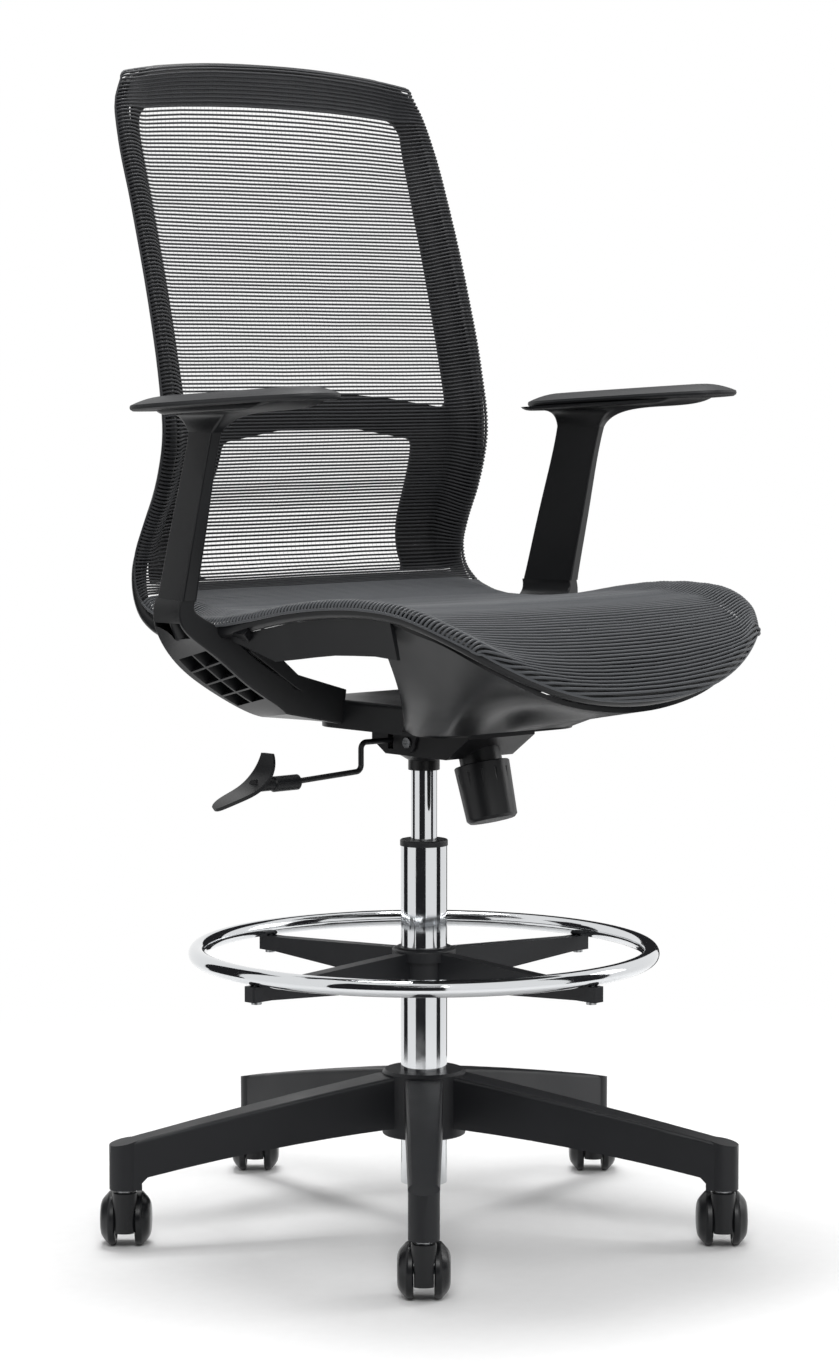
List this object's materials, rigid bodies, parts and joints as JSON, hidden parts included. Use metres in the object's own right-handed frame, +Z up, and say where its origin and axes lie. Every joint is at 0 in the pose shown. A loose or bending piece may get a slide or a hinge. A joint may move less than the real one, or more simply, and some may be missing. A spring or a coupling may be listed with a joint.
{
  "type": "drafting chair",
  "caption": "Tall drafting chair with mesh back and seat in a rail shell, fixed arms, gas lift, tilt, foot ring and a star base on casters.",
  "frame": {"origin": "on the floor under the column's axis", "axes": "+Z up; the sitter faces -Y and has the right hand at -X"},
  "size_m": [0.7007, 0.7119, 1.262],
  "materials": {
    "black_moulding": "satin",
    "grey_moulding": "satin",
    "pad": "soft matte",
    "mesh": "open knitted weave",
    "chrome": "polished",
    "steel": "bright",
    "black_steel": "powder coat",
    "wheel": "satin"
  },
  "bodies": {
    "base": {"star_base": "black_moulding", "column_tube": "chrome", "column_guide": "black_moulding"},
    "rod": {"piston_rod": "steel", "thrust_bearing": "steel", "rod_clip": "steel"},
    "lift": {"gas_cylinder": "chrome", "socket_ring": "black_moulding", "lift_socket": "steel", "mechanism_housing": "black_steel", "pivot_pin": "steel", "spring_sleeve": "black_steel", "tension_spring": "steel"},
    "pin": {"release_pin": "steel"},
    "seat": {"tilt_plate": "black_steel", "plate_bolts": "black_steel", "seat_carrier": "black_moulding", "front_moulding": "black_moulding", "shell_screws": "black_steel", "shell_rail": "black_moulding", "back_border": "black_moulding", "back_mesh": "mesh", "seat_mesh": "mesh", "arm_left": "black_moulding", "arm_right": "black_moulding", "pad_left": "pad", "pad_right": "pad", "arm_bolts": "black_steel"},
    "lever_carriage": {"lever_block": "grey_moulding", "lever_cross_pin": "steel"},
    "lever": {"lever_rod": "black_steel", "lever_handle": "black_moulding"},
    "tension_plate": {"thrust_plate": "steel"},
    "knob": {"tension_knob": "black_moulding", "tension_bolt": "steel"},
    "ring_slider": {"ring_bush": "black_moulding"},
    "ring": {"ring_spokes": "black_moulding", "foot_ring": "chrome", "ring_screws": "steel"},
    "caster_1": {"caster_1_hood": "black_moulding", "caster_1_pins": "steel"},
    "caster_1_left": {"caster_1_wheel_left": "wheel"},
    "caster_1_right": {"caster_1_wheel_right": "wheel"},
    "caster_2": {"caster_2_hood": "black_moulding", "caster_2_pins": "steel"},
    "caster_2_left": {"caster_2_wheel_left": "wheel"},
    "caster_2_right": {"caster_2_wheel_right": "wheel"},
    "caster_3": {"caster_3_hood": "black_moulding", "caster_3_pins": "steel"},
    "caster_3_left": {"caster_3_wheel_left": "wheel"},
    "caster_3_right": {"caster_3_wheel_right": "wheel"},
    "caster_4": {"caster_4_hood": "black_moulding", "caster_4_pins": "steel"},
    "caster_4_left": {"caster_4_wheel_left": "wheel"},
    "caster_4_right": {"caster_4_wheel_right": "wheel"},
    "caster_5": {"caster_5_hood": "black_moulding", "caster_5_pins": "steel"},
    "caster_5_left": {"caster_5_wheel_left": "wheel"},
    "caster_5_right": {"caster_5_wheel_right": "wheel"}
  },
  "joints": [
    {"name": "seat_swivel", "type": "hinge", "parent": "base", "child": "rod", "pos_m": [0, 0, 0.05], "axis": [0, 0, 1], "continuous": true},
    {"name": "height", "type": "slide", "parent": "rod", "child": "lift", "axis": [0, 0, 1], "range_m": [-0.07, 0.12]},
    {"name": "release", "type": "slide", "parent": "lift", "child": "pin", "axis": [0, 0, -1], "range_m": [0, 0.0041]},
    {"name": "tilt", "type": "hinge", "parent": "lift", "child": "seat", "pos_m": [0, -0.0315, 0.534], "axis": [-1, 0, 0], "range_deg": [0, 15], "stiffness_Nm_per_rad": 120, "springref_deg": -20.05},
    {"name": "lever_pull", "type": "slide", "parent": "lift", "child": "lever_carriage", "axis": [-1, 0, 0], "range_m": [0, 0.009]},
    {"name": "lever_lift", "type": "hinge", "parent": "lever_carriage", "child": "lever", "pos_m": [-0.03, 0, 0.534], "axis": [0, 1, 0], "range_deg": [0, 7.6], "stiffness_Nm_per_rad": 3, "springref_deg": -11.46},
    {"name": "tension_travel", "type": "slide", "parent": "lift", "child": "tension_plate", "axis": [0, -0.2823, -0.9593], "range_m": [0, 0.0101]},
    {"name": "tension_turn", "type": "hinge", "parent": "lift", "child": "knob", "pos_m": [0, -0.0832, 0.539], "axis": [0, -0.2823, -0.9593], "range_deg": [0, 2400]},
    {"name": "ring_height", "type": "slide", "parent": "base", "child": "ring_slider", "axis": [0, 0, 1], "range_m": [-0.08, 0.1]},
    {"name": "ring_turn", "type": "hinge", "parent": "ring_slider", "child": "ring", "pos_m": [0, 0, 0.28], "axis": [0, 0, 1], "continuous": true},
    {"name": "caster_1_swivel", "type": "hinge", "parent": "base", "child": "caster_1", "pos_m": [-0.22282, -0.24747, 0.08], "axis": [0, 0, 1], "continuous": true},
    {"name": "caster_1_left_spin", "type": "hinge", "parent": "caster_1", "child": "caster_1_left", "pos_m": [-0.21011, -0.23335, 0.029], "axis": [-0.7431, 0.6691, 0], "continuous": true},
    {"name": "caster_1_right_spin", "type": "hinge", "parent": "caster_1", "child": "caster_1_right", "pos_m": [-0.21011, -0.23335, 0.029], "axis": [-0.7431, 0.6691, 0], "continuous": true},
    {"name": "caster_2_swivel", "type": "hinge", "parent": "base", "child": "caster_2", "pos_m": [0.1665, -0.28839, 0.08], "axis": [0, 0, 1], "continuous": true},
    {"name": "caster_2_left_spin", "type": "hinge", "parent": "caster_2", "child": "caster_2_left", "pos_m": [0.17921, -0.27427, 0.029], "axis": [-0.7431, 0.6691, 0], "continuous": true},
    {"name": "caster_2_right_spin", "type": "hinge", "parent": "caster_2", "child": "caster_2_right", "pos_m": [0.17921, -0.27427, 0.029], "axis": [-0.7431, 0.6691, 0], "continuous": true},
    {"name": "caster_3_swivel", "type": "hinge", "parent": "base", "child": "caster_3", "pos_m": [0.32572, 0.06924, 0.08], "axis": [0, 0, 1], "continuous": true},
    {"name": "caster_3_left_spin", "type": "hinge", "parent": "caster_3", "child": "caster_3_left", "pos_m": [0.33844, 0.08335, 0.029], "axis": [-0.7431, 0.6691, 0], "continuous": true},
    {"name": "caster_3_right_spin", "type": "hinge", "parent": "caster_3", "child": "caster_3_right", "pos_m": [0.33844, 0.08335, 0.029], "axis": [-0.7431, 0.6691, 0], "continuous": true},
    {"name": "caster_4_swivel", "type": "hinge", "parent": "base", "child": "caster_4", "pos_m": [0.03481, 0.33118, 0.08], "axis": [0, 0, 1], "continuous": true},
    {"name": "caster_4_left_spin", "type": "hinge", "parent": "caster_4", "child": "caster_4_left", "pos_m": [0.04752, 0.3453, 0.029], "axis": [-0.7431, 0.6691, 0], "continuous": true},
    {"name": "caster_4_right_spin", "type": "hinge", "parent": "caster_4", "child": "caster_4_right", "pos_m": [0.04752, 0.3453, 0.029], "axis": [-0.7431, 0.6691, 0], "continuous": true},
    {"name": "caster_5_swivel", "type": "hinge", "parent": "base", "child": "caster_5", "pos_m": [-0.30421, 0.13544, 0.08], "axis": [0, 0, 1], "continuous": true},
    {"name": "caster_5_left_spin", "type": "hinge", "parent": "caster_5", "child": "caster_5_left", "pos_m": [-0.2915, 0.14956, 0.029], "axis": [-0.7431, 0.6691, 0], "continuous": true},
    {"name": "caster_5_right_spin", "type": "hinge", "parent": "caster_5", "child": "caster_5_right", "pos_m": [-0.2915, 0.14956, 0.029], "axis": [-0.7431, 0.6691, 0], "continuous": true}
  ],
  "couplings": [
    {"joint": "release", "follows": "lever_lift", "m_per_rad": 0.03},
    {"joint": "tension_travel", "follows": "tension_turn", "m_per_rad": 0.00023873}
  ]
}
